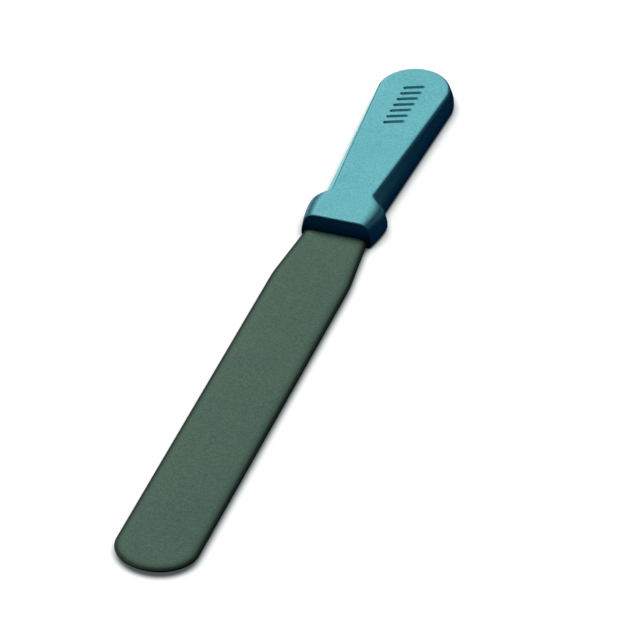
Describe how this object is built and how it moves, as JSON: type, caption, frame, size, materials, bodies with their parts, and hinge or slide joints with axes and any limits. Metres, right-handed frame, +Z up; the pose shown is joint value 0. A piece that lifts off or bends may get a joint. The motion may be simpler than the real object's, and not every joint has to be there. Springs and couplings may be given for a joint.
{
  "type": "flexible spatula",
  "caption": "Long hand spatula with a round-ended flexible blade, steel-cored and rubber-skinned, and a one-piece moulded handle with a guard.",
  "frame": {"origin": "on the flat underside of the handle, on the centre line, half way along the handle", "axes": "+Y towards the butt of the handle, so the blade's tip is at -Y; +Z up from the rest face; +X across the blade"},
  "size_m": [0.0332, 0.342, 0.0114],
  "materials": {
    "handle": "satin teal moulded plastic with a fine eggshell grain",
    "blade_skin": "matte grey-green moulded rubber, fine speckle",
    "core_steel": "cold-rolled spring steel"
  },
  "bodies": {
    "handle": {"handle": "handle", "tang": "core_steel", "skin_root": "blade_skin"},
    "blade_1": {"skin_1": "blade_skin", "core_1": "core_steel"},
    "blade_2": {"skin_2": "blade_skin", "core_2": "core_steel"},
    "blade_3": {"skin_3": "blade_skin", "core_3": "core_steel"},
    "blade_4": {"skin_4": "blade_skin", "core_4": "core_steel"},
    "blade_5": {"skin_5": "blade_skin", "core_5": "core_steel"},
    "blade_6": {"skin_6": "blade_skin", "core_6": "core_steel"}
  },
  "joints": [
    {"name": "bend_1", "type": "hinge", "parent": "handle", "child": "blade_1", "pos_m": [0, -0.0785, 0.0028], "axis": [1, 0, 0], "range_deg": [-10, 10], "stiffness_Nm_per_rad": 5.9},
    {"name": "bend_2", "type": "hinge", "parent": "blade_1", "child": "blade_2", "pos_m": [0, -0.1155, 0.0028], "axis": [1, 0, 0], "range_deg": [-10, 10], "stiffness_Nm_per_rad": 5.9},
    {"name": "bend_3", "type": "hinge", "parent": "blade_2", "child": "blade_3", "pos_m": [0, -0.1525, 0.0028], "axis": [1, 0, 0], "range_deg": [-10, 10], "stiffness_Nm_per_rad": 5.9},
    {"name": "bend_4", "type": "hinge", "parent": "blade_3", "child": "blade_4", "pos_m": [0, -0.1895, 0.0028], "axis": [1, 0, 0], "range_deg": [-10, 10], "stiffness_Nm_per_rad": 5.9},
    {"name": "bend_5", "type": "hinge", "parent": "blade_4", "child": "blade_5", "pos_m": [0, -0.2265, 0.0028], "axis": [1, 0, 0], "range_deg": [-10, 10], "stiffness_Nm_per_rad": 5.9},
    {"name": "bend_6", "type": "hinge", "parent": "blade_5", "child": "blade_6", "pos_m": [0, -0.2635, 0.0028], "axis": [1, 0, 0], "range_deg": [-10, 10], "stiffness_Nm_per_rad": 5.9}
  ]
}
